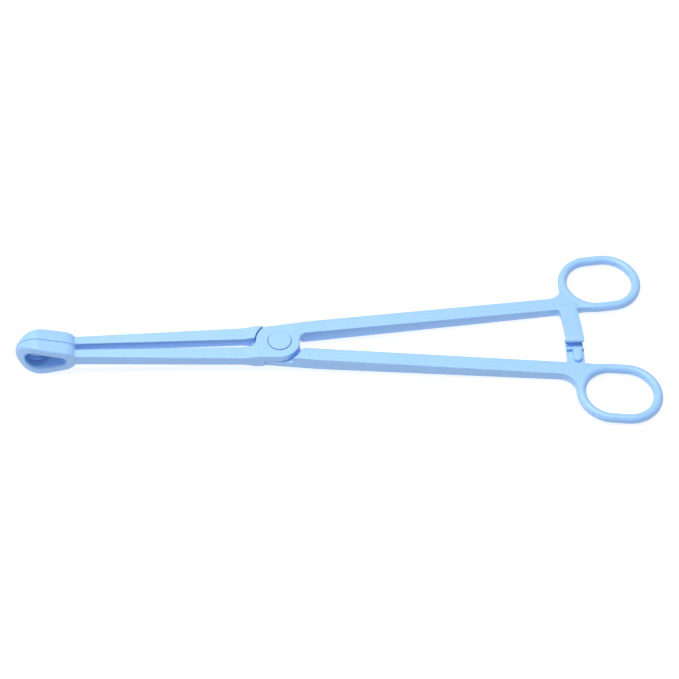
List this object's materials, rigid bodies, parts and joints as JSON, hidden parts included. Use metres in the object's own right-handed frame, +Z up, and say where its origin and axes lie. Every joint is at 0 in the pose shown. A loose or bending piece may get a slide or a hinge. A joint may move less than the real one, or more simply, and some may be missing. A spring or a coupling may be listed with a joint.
{
  "type": "print tongs",
  "caption": "Locking ring-jaw tongs in light blue moulded plastic: crossed arms on a pivot pin, looped jaws, finger rings and a ratchet.",
  "frame": {"origin": "on the pivot axis, at the flat underside of the hub", "axes": "+X from the pivot towards the finger rings, +Y towards the rack arm's ring, +Z up through the pin head"},
  "size_m": [0.24, 0.0808, 0.0152],
  "materials": {
    "arm_plastic": "satin, light blue",
    "pin_plastic": "satin, light blue"
  },
  "bodies": {
    "pawl_arm": {"pawl_arm_jaw": "arm_plastic", "pawl_arm_shank": "arm_plastic", "pawl_arm_hub": "arm_plastic", "pawl_arm_handle": "arm_plastic", "pawl_arm_ring_root": "arm_plastic", "pawl_arm_finger_ring": "arm_plastic", "pawl_bar": "arm_plastic", "guide_rib": "arm_plastic", "pivot_pin": "pin_plastic"},
    "rack_arm": {"rack_arm_jaw": "arm_plastic", "rack_arm_shank": "arm_plastic", "rack_arm_hub": "arm_plastic", "rack_arm_handle": "arm_plastic", "rack_arm_ring_root": "arm_plastic", "rack_arm_finger_ring": "arm_plastic", "rack_bar": "arm_plastic"}
  },
  "joints": [
    {"name": "pivot", "type": "hinge", "parent": "pawl_arm", "child": "rack_arm", "pos_m": [0, 0, 0.003], "axis": [0, 0, 1], "range_deg": [0, 35]}
  ]
}
